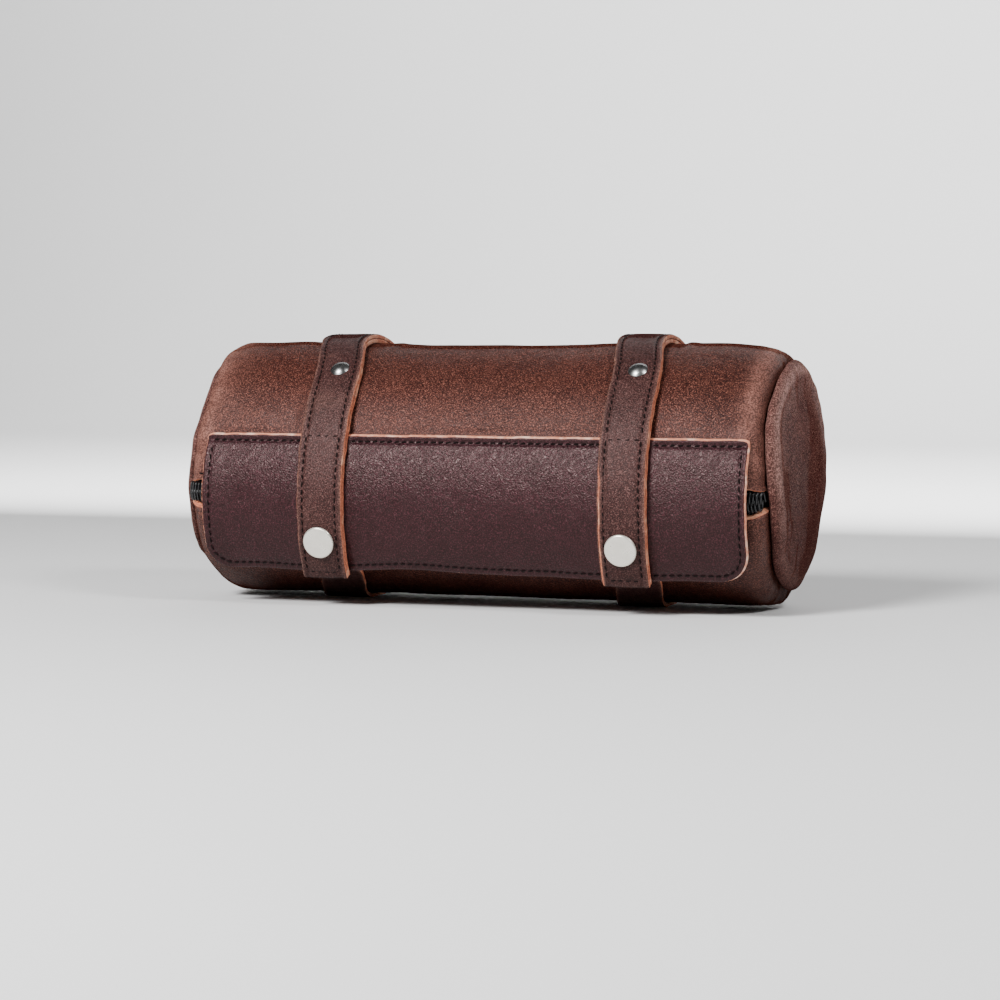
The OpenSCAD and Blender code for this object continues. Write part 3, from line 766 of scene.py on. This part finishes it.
def seam_binding(side, sign):
    """Tape folded over the raw edges of the end seam, inside the case."""
    angle = np.linspace(0, 360, 180, endpoint=False)[:, None]
    fold = np.linspace(-90, 90, 9)
    lip = 2.7
    half = LEATHER + 0.3
    hub = SEAM_R - 7.5
    x = np.concatenate([[-half, -half], half * np.sin(np.radians(fold)), [half, half]])[None, :]
    r = np.concatenate([[hub + lip, hub + lip / 2], hub - 0.9 * np.cos(np.radians(fold)),
                        [hub + lip / 2, hub + lip]])[None, :]
    at = point3(x, polar(r, angle))
    ripple = 0.16 * bumps(at, 4, 24)
    middle = SEAM_X + seam_wander(angle, sign > 0)
    out = point3(sign * (middle + x * 1.02), polar(r + ripple, angle))
    inn = point3(sign * (middle + x * 0.86), polar(r + ripple + 0.5 * gauss(x, 2), angle))
    piece = sheet(f"seam_tape_{side}", out, inn, [BINDING] * 3, wrap=True, bulge=0.05, steps=2)
    stands_for(piece, "binding", f"seam_binding_{side}", body="case")


def end_stitches():
    angle = np.linspace(0, 360, 240)
    rows = []
    for sign in (-1, 1):
        out = seam_wander(angle, sign > 0)
        p = point3(sign * (SEAM_X + out - LEATHER - 0.1), polar(SEAM_R - 3.4, angle))
        rows.append((p, np.tile([-float(sign), 0, 0], (len(angle), 1))))
    stands_for(stitches("end_seam_stitches", rows, pitch=3.4), "thread", "end_seam_threads", body="case")


# ---------- zip ----------

def zip_point(x, lateral, radial):
    """A point of the zip: lateral is up the barrel from its centre line, radial is from the barrel's axis."""
    angle = ZIP_ANGLE + np.degrees(lateral / BARREL_R)
    return point3(x, polar(radial, angle))


def shoulder_drop(x):
    """The zip dips into the end seams with the barrel's shoulders."""
    over = np.clip((np.abs(x) - 112.3) / 5.4, 0, 1)
    return 5.6 * (1 - np.sqrt(1 - 0.98 * over ** 2))


def zip_tape(name, side):
    x = np.linspace(-116.2, 116.2, 180)[:, None]
    lateral = side * np.linspace(0.55, 10.6, 16)[None, :] * (1 - 0.4 * smooth((np.abs(x) - 108) / 6))
    radial = 48.35 - shoulder_drop(x) * 0.9 + np.zeros_like(lateral)
    top, bottom = zip_point(x, lateral, radial), zip_point(x, lateral, radial - 0.55)
    return sheet(name, top, bottom, [TAPE] * 3, bulge=0.04, steps=2)


def zip_coil(name, side):
    """A nylon coil. The two coils' loops pass between one another on the centre line."""
    pitch, steps = 1.3, 14
    turns = int(234 / pitch)
    phase = np.arange(turns * steps) / steps
    x = -117 + phase * pitch + (0.5 * pitch if side > 0 else 0)
    a = 2 * np.pi * phase
    lateral = side * (1.7 - 2.25 * np.cos(a) * (1 + 0.12 * np.cos(a)))
    radial = 49.65 + 0.85 * np.sin(a) - shoulder_drop(x)
    p = zip_point(x, lateral, radial)
    t = unit(np.gradient(p, axis=0))
    across = np.cross(t, np.tile([1.0, 0, 0], (len(t), 1)))
    across /= np.linalg.norm(across, axis=1)[:, None] + 1e-9
    return tube(name, p, across, np.cross(t, across), 0.42, [COIL])


def zip_stitches(name, side):
    x = np.linspace(-112, 112, 200)
    points = zip_point(x, side * (SLOT_HALF + 2.6), BARREL_R + 0.02)
    normals = point3(0.0, np.tile(polar(1, ZIP_ANGLE + 8 * side), (len(x), 1)))
    return stitches(name, [(points, normals)])


def zip_parts():
    """The zip's upper half rides on the case, and its lower half is not attached to it."""
    stands_for(zip_tape("zip_tape_top", 1), "zip_tape", "zip_tape_upper", body="case")
    stands_for(zip_coil("zip_teeth_top", 1), "zip_coil", "zip_coil_upper", body="case")
    tape, coil = zip_tape("zip_tape_bottom", -1), zip_coil("zip_teeth_bottom", -1)
    stands_for(tape, "zip_tape", "zip_tape_lower", "zip_tape_ends")
    stands_for(coil, "zip_coil", "zip_coil_lower", "zip_coil_ends")
    stands_for(zip_stitches("zip_stitches_top", 1), "thread", "zip_seam_thread", body="case")
    low = zip_stitches("zip_stitches_bottom", -1)
    stands_for(low, "thread", "lip_seam_thread")
    for piece in (tape, coil, low):
        bend_with_lip(piece, LIP_MIDDLE)


# ---------- flap ----------

HINGE = polar(EDGE_R, SEAM_ANGLE)
FLAP_C = HINGE - polar(FLAP_R, FLAP_NORMAL)
FLAP_LOW_ANGLE = math.degrees(math.asin((FLAP_LOW_Z - FLAP_C[1]) / FLAP_R))
# Straps come off the flap's sewn edge on a wider arc, which meets the barrel at LIFT_ANGLE.
LIFT_ANGLE = 50.0
LIFT_D = LEATHER / (1 - math.cos(math.radians(LIFT_ANGLE - FLAP_TOP)))
LIFT_C = polar(-LIFT_D, LIFT_ANGLE)


def flap_line():
    """(y, z) of the flap's outer face, from its lower edge up to the edge that is sewn to the barrel."""
    low = arc_points(FLAP_C, FLAP_R, FLAP_LOW_ANGLE, FLAP_NORMAL, 0.4)
    top = arc_points((0, 0), EDGE_R, SEAM_ANGLE, FLAP_TOP, 0.4)
    return relax(resample(np.concatenate([low, top[1:]]), 0.4), 8)


def hinge_run(line):
    """Run length at which a line of the flap or a strap passes the seam."""
    return run_length(line)[np.argmin(np.linalg.norm(line - HINGE, axis=1))]


FLAP_LINE = flap_line()
FLAP_RUN = run_length(FLAP_LINE)
FLAP_OUT = outward(FLAP_LINE)
HINGE_RUN = hinge_run(FLAP_LINE)


def flap_wave(x):
    """How far the lower edge has curled up along the flap, in mm."""
    return 2.6 * gauss(x + 22, 26) + 0.9 * gauss(x + 84, 14) + 0.5 * gauss(x - 96, 14) - 0.4


def flap_surface(x, s):
    """The flap's outer face at x and at run length s from the lower edge, and its normal. Both are arrays."""
    low = flap_wave(x) * (1 - smooth(s / 26))
    u = np.clip(s + low, 0, FLAP_RUN[-1])
    n = point3(0.0, at_run(u, FLAP_RUN, FLAP_OUT))
    at = point3(x, at_run(u, FLAP_RUN, FLAP_LINE))
    covered = np.clip(strap_cover_mask(x, 3.0), 0, 1)
    free = smooth((HINGE_RUN - s) / 10)
    curl = 1.5 * gauss(x + 22, 30) * (1 - smooth(s / 22)) - 0.9 * gauss(x - 18, 26) * (1 - smooth(s / 26))
    side = np.minimum(x - FLAP_X[0], FLAP_X[1] - x)
    curl = curl + 0.7 * (1 - smooth(side / 14)) * free
    ripple = 0.5 * bumps(at, 30, 41) + 0.22 * bumps(at, 12, 42) + 0.08 * bumps(at, 5, 43)
    lift = (curl + ripple * free - 0.25) * (1 - covered) - 0.1 * covered
    lift = lift - 0.75 * gauss(s - HINGE_RUN - SEAM_ABOVE, 0.95) * (1 - covered)
    return at + n * lift[..., None], n


def rounded_edge_distance(x, s):
    """Distance from the flap's free edge, which has rounded lower corners."""
    side = np.minimum(x - FLAP_X[0], FLAP_X[1] - x)
    cx, cs = FLAP_CORNER - side, FLAP_CORNER - s
    corner = FLAP_CORNER - np.hypot(np.maximum(cx, 0), np.maximum(cs, 0))
    return np.where((cx > 0) & (cs > 0), corner, np.minimum(side, s))


def flap_grid(inset, columns):
    """x and run length of a grid over the flap, inset from its edges, with its rounded lower corners."""
    a = np.radians(np.linspace(0, 90, 16))
    high = np.linspace(FLAP_CORNER, FLAP_RUN[-1], 80)[1:]
    s = np.concatenate([FLAP_CORNER * (1 - np.cos(a)), high])
    cut = np.concatenate([FLAP_CORNER * (1 - np.sin(a)), np.zeros(len(high))])
    top_r = 2.0
    over = np.clip(s - FLAP_RUN[-1] + top_r, 0, top_r) / top_r
    cut = cut + top_r * (1 - np.sqrt(np.clip(1 - over ** 2, 0, 1)))
    s = inset + s * (1 - 2 * inset / FLAP_RUN[-1])
    edge = 0.18 * wobble(s, 3.0, 48)
    x0, x1 = FLAP_X[0] + cut + inset + edge, FLAP_X[1] - cut - inset + edge
    f = np.linspace(0, 1, columns)
    f = f - 0.02 * np.sin(2 * np.pi * f)
    x = x0[:, None] + (x1 - x0)[:, None] * f[None, :]
    frayed = 0.22 * wobble(x, 4.0, 49, s[:, None])
    s = s[:, None] + frayed * np.where(np.arange(len(s)) == len(s) - 1, 1.0, 0.3)[:, None]
    return x, s


def flap_leather():
    p, n = flap_surface(*flap_grid(0.0, 260))
    bottom = p - n * 1.3
    x, s = flap_grid(0.5, 260)
    s = s - 0.8 * smooth((s - FLAP_RUN[-1] + 3) / 3)
    p, n = flap_surface(x, s)
    d = rounded_edge_distance(x, s)
    rounded = 1 - smooth(d / 1.2)
    groove = 0.42 * gauss(d - EDGE_STITCH, 0.75) * (s < HINGE_RUN - 1) + 0.18 * rounded
    piece = sheet("flap_leather", p - n * groove[..., None], bottom, [FLAP, FLESH, RAW_PALE],
                  wear_and_highlight=0.5 * rounded, bulge=0.12)
    bend_flap(piece)
    stands_for(piece, "flap_leather", "flap_panel", "flap_sewn_edge", "flap_bend")


def flap_lining():
    p, n = flap_surface(*flap_grid(0.7, 120))
    piece = sheet("flap_lining_leather", p - n * 1.34, p - n * 1.86, [FLAP_LINING] * 3, bulge=0.05, steps=2)
    bend_flap(piece)
    stands_for(piece, "flap_lining", "flap_lining")


def bend_flap(piece):
    """Bakes the transform of a piece of the flap, passing weights for a bend just below the seam that holds
    it.
    """
    run = np.interp(axis_points(piece)[:, 2], FLAP_LINE[:, 1], FLAP_RUN)
    bend_by(piece, smooth((HINGE_RUN - run) / BEND_LENGTH))


def rows_between_straps(x, s):
    """Rows along a line on the flap, left out where a strap covers it."""
    points, normals = flap_surface(x, s)
    keep = np.all([np.abs(x - c) > STRAP_W / 2 + 0.3 for c in STRAP_X.values()], axis=0)
    cuts = np.flatnonzero(np.diff(keep.astype(int))) + 1
    parts = zip(np.split(points, cuts), np.split(normals, cuts), np.split(keep, cuts))
    return [(p, n) for p, n, kept in parts if kept[0]]


def flap_seam_stitches():
    x = np.linspace(FLAP_X[0] + 2.5, FLAP_X[1] - 2.5, 400)
    rows = rows_between_straps(x, np.full_like(x, HINGE_RUN + SEAM_ABOVE))
    seam = stitches("flap_seam_stitches", rows, length=2.2, radius=0.42, sink=-0.15)
    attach(seam, "case")


def flap_edge_stitches():
    turn = FLAP_CORNER - EDGE_STITCH
    a = np.radians(np.linspace(0, 90, 14))
    left_x = FLAP_X[0] + np.concatenate([np.full(60, EDGE_STITCH), FLAP_CORNER - turn * np.cos(a)])
    left_s = np.concatenate([np.linspace(HINGE_RUN - 2, FLAP_CORNER, 60), FLAP_CORNER - turn * np.sin(a)])
    right_x = (FLAP_X[0] + FLAP_X[1]) - left_x[::-1]
    low_x = np.linspace(left_x[-1], right_x[0], 300)[1:-1]
    x = np.concatenate([left_x, low_x, right_x])
    s = np.concatenate([left_s, np.full(len(low_x), EDGE_STITCH), left_s[::-1]])
    rows = [(p - n * 0.12, n) for p, n in rows_between_straps(x, s)]
    edge = stitches("flap_edge_stitches", rows, radius=0.32, sink=0.0)
    bend_flap(edge)
    stands_for(edge, "thread", "flap_edge_threads")


# ---------- straps ----------

def strap_line(flap_offset, barrel_offset, with_tail):
    """(y, z) along the middle of a strap ply, from its lower front end up, over and down the back. The
    tail goes on underneath and up behind the flap."""
    front_low = FLAP_LOW_ANGLE - 0.4
    parts = [arc_points(FLAP_C, FLAP_R + flap_offset, front_low, FLAP_NORMAL - 4),
             arc_points(LIFT_C, LIFT_D + BARREL_R + barrel_offset, FLAP_NORMAL + 4, LIFT_ANGLE)]
    mid = BARREL_R + barrel_offset
    if not with_tail:
        parts.append(arc_points((0, 0), mid, LIFT_ANGLE + 1, COVER_END))
        return relax(resample(np.concatenate(parts), STRAP_STEP), 10)
    snap_z, bend_r = -25.2, 25.0
    snap = math.degrees(math.asin((snap_z - FLAP_C[1]) / FLAP_R))
    foot = FLAP_C + polar(FLAP_R - 6, snap)
    centre = foot - polar(bend_r, snap)
    reach = float(np.hypot(*centre))
    leave = -math.degrees(math.acos(-centre[0] / reach)) - math.degrees(math.acos((mid - bend_r) / reach))
    parts.append(arc_points((0, 0), mid, LIFT_ANGLE + 1, 360 + leave))
    parts.append(arc_points(centre, bend_r, leave, snap))
    tip = foot + 5.5 * np.array([math.sin(math.radians(snap)), math.cos(math.radians(snap))])
    parts.append(tip[None, :])
    return relax(resample(np.concatenate(parts), STRAP_STEP), 10)


def strap_drift(line, amount):
    """How far a strap strays along the barrel as it climbs over the top and comes back underneath, in mm."""
    back = np.clip((line[:, 0] + 54) / 56, 0, 1)
    over = line[:, 0] + 0.45 * np.abs(line[:, 1])
    t = np.clip((over + 22) / 40, 0, 1) * np.clip(back * 3, 0, 1)
    return -amount * relax(smooth(t)[:, None], 60)[:, 0]


def strap_sway(run, seed):
    """How far a strap's two plies stray to one side along it."""
    return 0.35 * wobble(run, 30, 60 + seed)


def strap_ply(name, x_mid, line, outer, nodes, drift, front_shift=0.0, bevel=0.0, seed=0):
    """One strap ply. The outer one has stitch grooves and a crowned face. In front, front_shift moves its
    left edge out and bevel slants it."""
    run = run_length(line)
    half = STRAP_W / 2
    v = np.concatenate([np.linspace(-1, -0.9, 4), np.linspace(-0.88, -0.62, 7), np.linspace(-0.55, 0.55, 9),
                        np.linspace(0.62, 0.88, 7), np.linspace(0.9, 1, 4)])[None, :]
    in_front = (1 - smooth((run - 40) / 12))[:, None]
    fray = 0.16 * wobble(run, 3.2, 70 + seed, 9)[:, None]
    x = x_mid + strap_drift(line, drift)[:, None] + strap_sway(run, seed)[:, None] + v * (half + fray)
    x = x + np.where(v < 0, -front_shift, 0) * np.abs(v) * in_front
    mid = point3(x, np.broadcast_to(line[:, None, :], (*x.shape, 2)))
    n = point3(0.0, np.broadcast_to(outward(line)[:, None, :], (*x.shape, 2)))
    d = half - np.abs(v) * half
    face = 0.06 * bumps(mid, 6, 62 + seed) + 0.12 * bumps(mid, 18, 63 + seed)
    if outer:
        face = face - 0.4 * gauss(d - STITCH_INSET, 0.75) + 0.14 * (1 - v ** 2) - 0.3 * (1 - smooth(d / 0.9))
        face = face - 0.28 * gauss(run - END_ROW, 0.7)[:, None] * (np.abs(v) < 0.76)
    top = mid + n * (PLY / 2 + face - (0.0 if outer else 0.12))[..., None]
    top[..., 0] += bevel * np.clip(-v, 0, 1) * in_front
    bottom = mid - n * (PLY / 2) + n * (0.08 * bumps(mid, 7, 64))[..., None]
    for side in (top, bottom):
        side[..., 2] = np.maximum(side[..., 2], -REST_DROP)
    patches = smooth((bumps(mid, 16, 65 + seed) - 0.3) / 0.5)
    wear_and_highlight = np.clip(0.6 * (1 - smooth(d / 1.3)) + 0.25 * patches, 0, 1)
    piece = sheet(name, top, bottom, [STRAP, FLESH, RAW], wear_and_highlight=wear_and_highlight, bulge=0.14)
    bend_by(piece, strap_weights(piece, line))
    stands_for(piece, "strap_leather", *nodes)


def strap_weights(piece, line):
    """1 on the strap's front, 0 from the seam on, with the bend just below the seam."""
    near = line[:int(FRONT_RUN / STRAP_STEP)]
    gap = ((axis_points(piece)[:, None, 1:] - near[None, :, :]) ** 2).sum(-1)
    run = run_length(near)[np.argmin(gap, axis=1)]
    on_front = np.sqrt(gap.min(axis=1)) < 3.0
    return smooth((hinge_run(near) - run) / BEND_LENGTH) * on_front


def strap_rows(x_mid, line, drift, seed):
    """The rows of stitches on a strap's front, and those from the seam on."""
    n2 = outward(line)
    run, hinge = run_length(line), hinge_run(line)
    sway = strap_sway(run, seed)
    face = line + n2 * (PLY / 2 - 0.16)
    front, back = [], []
    for sign in (-1, 1):
        x = x_mid + strap_drift(line, drift) + sway + sign * (STRAP_W / 2 - STITCH_INSET)
        p, n = point3(x, face), point3(0.0, n2)
        for rows, keep in ((front, (run > 3.5) & (run < hinge + 2)),
                           (back, (run > hinge + 4) & (run < run[-1] - 3))):
            rows.append((p[keep], n[keep]))
    across = np.linspace(-STRAP_W / 2 + 3.4, STRAP_W / 2 - 3.4, 12)
    for rows, place, widen, proud in ((front, END_ROW, 1.0, 0.0), (back, hinge + 1.5, 1.15, 0.15)):
        at = int(np.argmin(np.abs(run - place)))
        p = point3(x_mid + sway[at] + across * widen, np.tile(face[at] + n2[at] * proud, (len(across), 1)))
        rows.append((p, np.tile(point3(0.0, n2[at]), (len(across), 1))))
    return front, back


def straps():
    outer_line = strap_line(PLY * 1.5 + 0.1, PLY * 1.5 + 0.15, False)
    inner_line = strap_line(PLY / 2 + 0.05, PLY / 2 + 0.1, True)
    front_rows, back_rows = [], []
    for k, (side, x) in enumerate(STRAP_X.items()):
        drift, shift, bevel = (8.5, 0.2, 0.4) if side == "left" else (6.5, 0.5, 1.0)
        strap_ply(f"strap_{side}_inner_ply", x, inner_line, False,
                  [f"strap_{side}_backing", f"strap_{side}_wrap"], drift, front_shift=shift, seed=k)
        strap_ply(f"strap_{side}_outer_ply", x, outer_line, True,
                  [f"strap_{side}_face", f"strap_{side}_cover"], drift, bevel=bevel, seed=k)
        front, back = strap_rows(x, outer_line, drift, k)
        front_rows += front
        back_rows += back
    front = stitches("strap_front_stitches", front_rows, pitch=2.9, sink=0.04)
    rising = outer_line[:90]
    run = np.interp(axis_points(front)[:, 2], rising[:, 1], run_length(rising))
    bend_by(front, smooth((hinge_run(outer_line) - run) / BEND_LENGTH))
    stands_for(front, "thread", "strap_front_threads", "strap_bends")
    back = stitches("strap_back_stitches", back_rows, pitch=2.9, sink=0.04)
    stands_for(back, "thread", "strap_wrap_threads", "flap_seam_thread", body="case")


# ---------- metal ----------

def finish_metal():
    """Gives the CAD's metal parts a material, and rounds their edges by a width in mm."""
    for node, mat, width in (("snap_caps", NICKEL, 0.12), ("snap_sockets", SNAP_METAL, 0.12),
                             ("snap_springs", SNAP_METAL, 0), ("snap_studs", SNAP_METAL, 0.1),
                             ("snap_eyelets", SNAP_METAL, 0.1), ("rivet_caps", RIVET, 0.1),
                             ("rivet_backs", SNAP_METAL, 0.1), ("zip_slider_body", DARK_METAL, 0.16),
                             ("zip_pull_tab", DARK_METAL, 0.14)):
        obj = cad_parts[node]
        obj.data.materials.clear()
        obj.data.materials.append(mat)
        obj.data.polygons.foreach_set("use_smooth", np.ones(len(obj.data.polygons), bool))
        if width:
            bevel = obj.modifiers.new("soft_edges", "BEVEL")
            bevel.width = width / 1000
            bevel.segments = 2
            bevel.limit_method = "ANGLE"
            bevel.angle_limit = math.radians(40)
            bevel.harden_normals = True


# ---------- studio ----------

def floor():
    """A pale floor that curves up into a backdrop."""
    white = Shader("studio_floor")
    white.set(Base_Color=white.mix(white.noise(3), (0.86, 0.86, 0.86, 1), (0.9, 0.9, 0.9, 1)), Roughness=0.8)
    front, back, bend, top, half_width = -1.2, 1.6, 0.8, 3.2, 4.0
    curve = [(back + bend * math.sin(a), bend - bend * math.cos(a))
             for a in np.linspace(0.1, math.pi / 2, 12)]
    profile = [(front, 0.0), (back, 0.0), *curve, (back + bend, top)]
    verts = [(x, y, z) for y, z in profile for x in (-half_width, half_width)]
    faces = [(2 * k, 2 * k + 1, 2 * k + 3, 2 * k + 2) for k in range(len(profile) - 1)]
    mesh = bpy.data.meshes.new("floor")
    mesh.from_pydata(verts, [], faces)
    mesh.materials.append(white.mat)
    mesh.polygons.foreach_set("use_smooth", np.ones(len(faces), bool))
    obj = bpy.data.objects.new("floor", mesh)
    bpy.context.scene.collection.objects.link(obj)


def lights():
    world = bpy.data.worlds.new("studio")
    bpy.context.scene.world = world
    world.use_nodes = True
    world.node_tree.nodes["Background"].inputs["Color"].default_value = (1, 1, 1, 1)
    world.node_tree.nodes["Background"].inputs["Strength"].default_value = 0.1
    area_light("key", (-0.3, -1.0, 0.8), 0.3, 18)
    area_light("sheen", (-0.4, -1.0, 0.7), 0.3, 8)
    area_light("side", (0.95, -0.45, 0.95), 0.3, 9)
    area_light("backdrop", (0.0, 0.45, 1.0), 1.6, 90, (0.0, 2.4, 0.9))


def area_light(name, place, size, watts, aim=(0, 0, 0.05)):
    data = bpy.data.lights.new(name, "AREA")
    data.size = size
    data.energy = watts
    light = bpy.data.objects.new(name, data)
    light.location = place
    light.rotation_mode = "QUATERNION"
    light.rotation_quaternion = (Vector(aim) - Vector(place)).to_track_quat("-Z", "Y")
    bpy.context.scene.collection.objects.link(light)


def camera():
    """At the photograph's angle, size and place in the frame."""
    data = bpy.data.cameras.new("camera")
    data.sensor_width = 36
    data.lens = 101.3
    data.shift_x, data.shift_y = -0.0071, -0.0297
    data.clip_start, data.clip_end = 0.05, 20
    cam = bpy.data.objects.new("camera", data)
    az, el, away = math.radians(19.5), math.radians(2.8), 1.126
    back = Vector((math.sin(az) * math.cos(el), -math.cos(az) * math.cos(el), math.sin(el)))
    cam.location = Vector(AXIS / 1000) + back * away
    cam.rotation_mode = "QUATERNION"
    cam.rotation_quaternion = (-back).to_track_quat("-Z", "Y")
    bpy.context.scene.collection.objects.link(cam)
    bpy.context.scene.camera = cam


barrel_skin()
barrel_lining()
for SIDE, SIGN in (("left", -1), ("right", 1)):
    end_panel(SIDE, SIGN)
    end_lining(SIDE, SIGN)
    seam_binding(SIDE, SIGN)
end_stitches()
zip_parts()
flap_leather()
flap_lining()
flap_seam_stitches()
flap_edge_stitches()
straps()
finish_metal()
floor()
lights()
camera()
